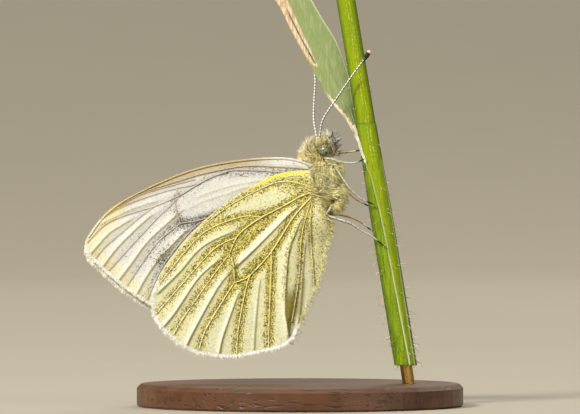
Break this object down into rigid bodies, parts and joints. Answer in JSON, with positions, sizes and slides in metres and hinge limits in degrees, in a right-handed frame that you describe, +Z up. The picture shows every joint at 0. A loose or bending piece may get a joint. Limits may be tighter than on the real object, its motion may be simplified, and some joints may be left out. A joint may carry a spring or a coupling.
{
  "type": "white butterfly",
  "caption": "Still model of a green-veined white butterfly with shut wings, clinging to a cut grass stem on a small display stand.",
  "frame": {"origin": "centre of the stand's flat underside", "axes": "+Z up, the way the insect's head points; +X the insect's belly side, towards the grass stem; -X the way the shut wings point; +Y the insect's left side"},
  "size_m": [0.0372, 0.032, 0.0422],
  "materials": {
    "wing_white": "matte powdery scales, cream white with grey dusting along the veins",
    "wing_lemon": "matte powdery scales, pale lemon with dark olive dusting along the veins",
    "body_fur": "soft fine hair, tan and olive grey",
    "eye_green": "satin pale green with small dark spots",
    "limb": "satin, with white and dark scales",
    "feeler": "satin black with fine white rings",
    "stem_green": "ribbed yellow green, slightly waxy",
    "leaf_green": "ribbed grey green, with dry straw-coloured torn edges",
    "walnut": "satin oiled walnut",
    "brass": "satin"
  },
  "bodies": {
    "root": {"head": "body_fur", "thorax": "body_fur", "abdomen": "body_fur", "palp_right": "body_fur", "palp_left": "body_fur", "proboscis": "feeler", "eye_right": "eye_green", "eye_left": "eye_green", "antenna_right": "feeler", "antenna_left": "feeler", "forewing_right": "wing_white", "forewing_left": "wing_white", "hindwing_right": "wing_lemon", "hindwing_left": "wing_lemon", "foreleg_right": "limb", "foreleg_left": "limb", "midleg_right": "limb", "midleg_left": "limb", "hindleg_right": "limb", "hindleg_left": "limb", "grass_stem": "stem_green", "grass_leaf": "leaf_green", "stand_base": "walnut", "stand_rod": "brass"}
  },
  "joints": []
}
